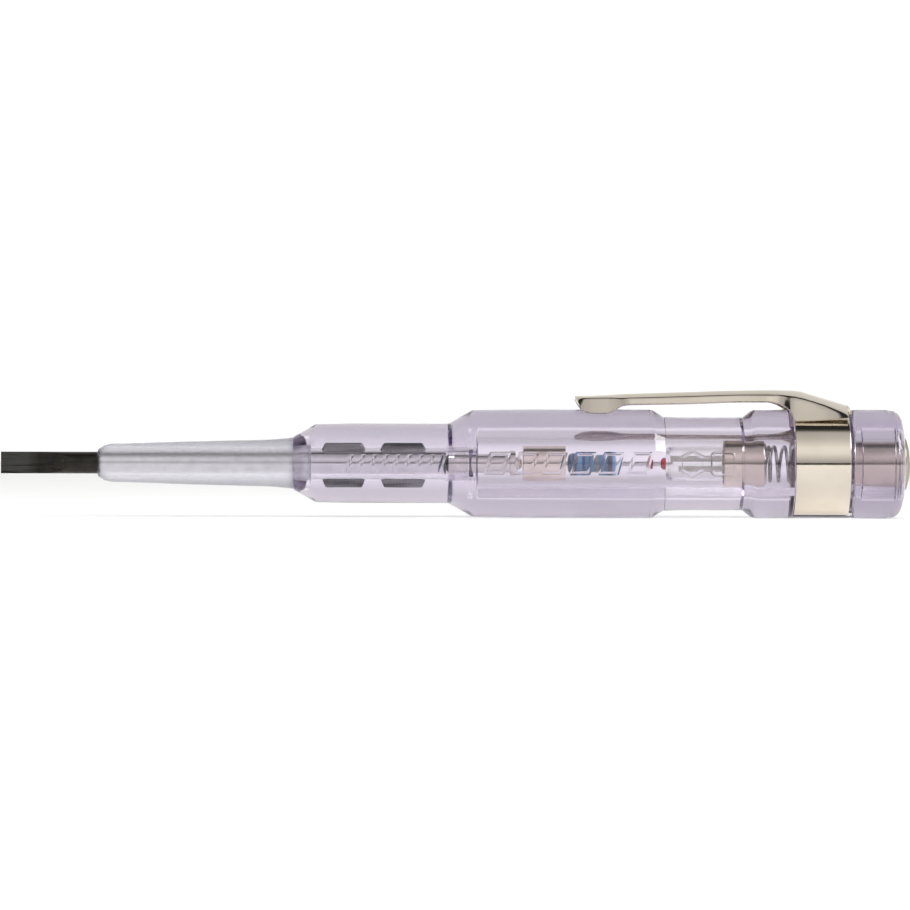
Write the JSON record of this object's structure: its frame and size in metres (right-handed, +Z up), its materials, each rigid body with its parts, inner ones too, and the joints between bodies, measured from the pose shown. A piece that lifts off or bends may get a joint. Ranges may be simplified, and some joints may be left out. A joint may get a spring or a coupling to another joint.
{
  "type": "voltage tester screwdriver",
  "caption": "Slim contact voltage tester: flat blade in a clear sleeve, clear stepped handle with resistor and glow lamp inside, sprung pocket clip and screw cap with a touch contact.",
  "frame": {"origin": "middle of the blade tip's end face, on the tool's long axis", "axes": "+X along the tool from the blade tip to the touch button; +Z up through the pocket clip; +Y across the flat of the blade"},
  "size_m": [0.125, 0.015, 0.0177],
  "materials": {
    "handle_plastic": "clear cellulose plastic with a pale violet tint, polished",
    "sleeve_plastic": "clear greyish plastic, slightly cloudy",
    "cap_plastic": "clear plastic with a pale violet tint, polished",
    "blade_steel": "black finished tool steel at the blade, bright along the covered shank",
    "nickel": "bright nickel plate",
    "ferrule_metal": "warm nickel plate, lightly stained",
    "tinned_wire": "tinned copper wire",
    "resistor_lacquer": "blue lacquer with painted rings",
    "red_seal": "red sealing glass",
    "lamp_glass": "thin clear glass",
    "electrode_metal": "dull nickel rods",
    "cup_metal": "warm nickel-plated brass",
    "spring_steel": "drawn spring wire",
    "clip_steel": "bright warm nickel plate"
  },
  "bodies": {
    "tester_body": {"handle": "handle_plastic", "insulating_sleeve": "sleeve_plastic", "blade": "blade_steel", "contact_pin": "nickel", "contact_ferrule": "ferrule_metal", "resistor_front_lead": "tinned_wire", "resistor_body": "resistor_lacquer", "resistor_rear_lead": "tinned_wire", "lamp_seal_bead": "red_seal", "lamp_glass": "lamp_glass", "lamp_front_electrode": "electrode_metal", "lamp_rear_electrode": "electrode_metal", "contact_cup": "cup_metal", "contact_spring": "spring_steel", "clip_band": "clip_steel"},
    "spring_seat": {"spring_washer": "spring_steel"},
    "screw_cap": {"end_cap": "cap_plastic", "contact_bush": "cup_metal", "touch_button": "nickel"},
    "clip_lever": {"clip_arm": "clip_steel"}
  },
  "joints": [
    {"name": "cap_travel", "type": "slide", "parent": "tester_body", "child": "spring_seat", "axis": [1, 0, 0], "range_m": [0, 0.006], "deforming": ["contact_spring"]},
    {"name": "cap_turn", "type": "hinge", "parent": "spring_seat", "child": "screw_cap", "pos_m": [0.117, 0, 0], "axis": [1, 0, 0], "range_deg": [0, 2160]},
    {"name": "clip_flex", "type": "hinge", "parent": "tester_body", "child": "clip_lever", "pos_m": [0.1163, 0, 0.00802], "axis": [0, 1, 0], "range_deg": [0, 5], "stiffness_Nm_per_rad": 2.8, "springref_deg": -1.15}
  ],
  "couplings": [
    {"joint": "cap_turn", "follows": "cap_travel", "rad_per_m": 6283.2}
  ]
}
